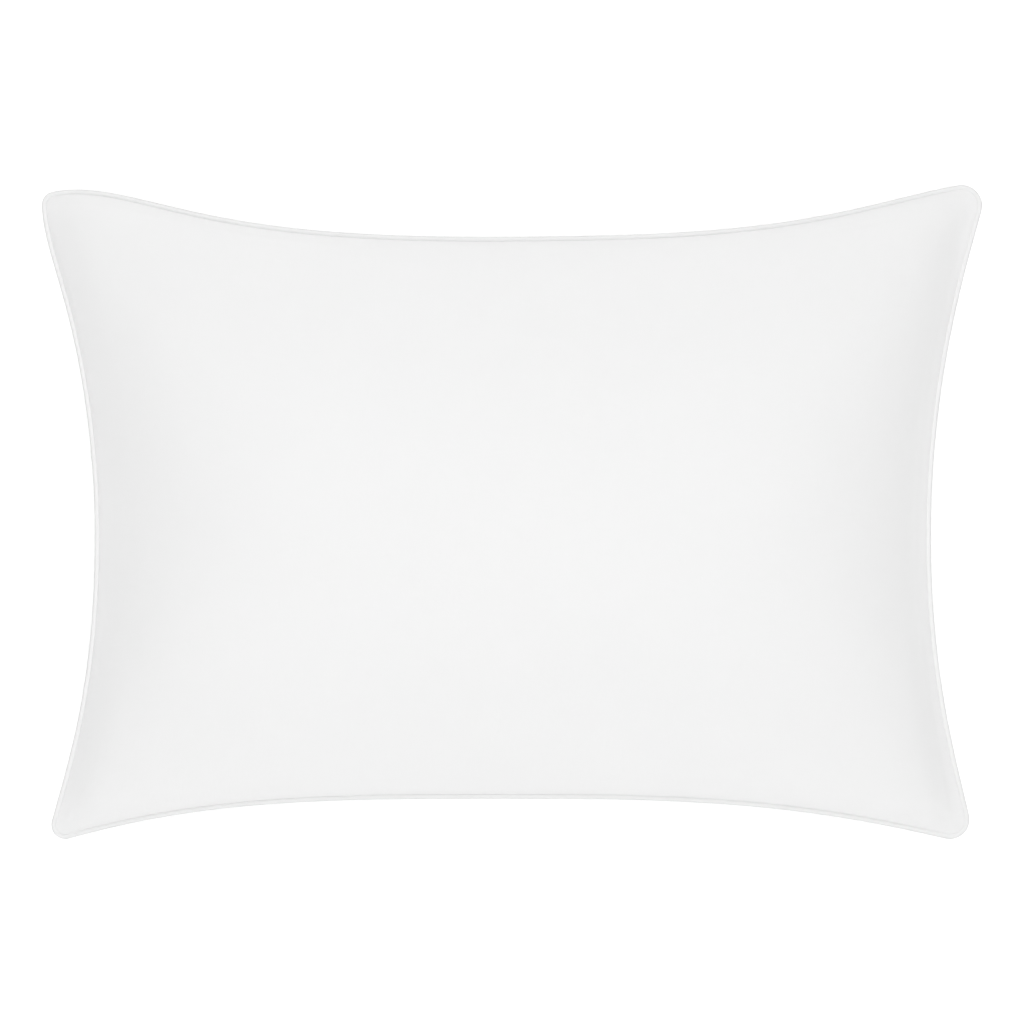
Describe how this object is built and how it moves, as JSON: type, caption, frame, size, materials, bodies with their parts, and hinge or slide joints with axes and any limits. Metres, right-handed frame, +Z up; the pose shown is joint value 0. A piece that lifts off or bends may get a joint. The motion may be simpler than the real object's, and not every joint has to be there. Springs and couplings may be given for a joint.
{
  "type": "bed pillow",
  "caption": "Soft rectangular bed pillow with piped edge, lying flat: crowned top, flattened underside, sides drawn in between the corners.",
  "frame": {"origin": "on the surface that the pillow lies on, under the middle of its box", "axes": "+X along the pillow's length, +Y along its width, +Z up out of its crown, with its underside down"},
  "size_m": [0.6991, 0.4861, 0.18],
  "materials": {
    "cover_cloth": "white cotton percale, fine plain weave, matte",
    "piping_cloth": "white cotton percale cut on the bias, matte",
    "cord": "undyed twisted cotton piping cord",
    "thread": "white spun polyester sewing thread",
    "label_satin": "blank white woven satin tape",
    "filling": "white hollow polyester fibre, matte and fluffy"
  },
  "bodies": {
    "root": {"top_panel": "cover_cloth", "bottom_panel": "cover_cloth", "piping_cover": "piping_cloth", "piping_cord": "cord", "seam_thread": "thread", "overlock_thread": "thread", "closing_thread": "thread", "care_label": "label_satin", "upper_wadding": "filling", "fibre_core": "filling", "lower_wadding": "filling"}
  },
  "joints": []
}
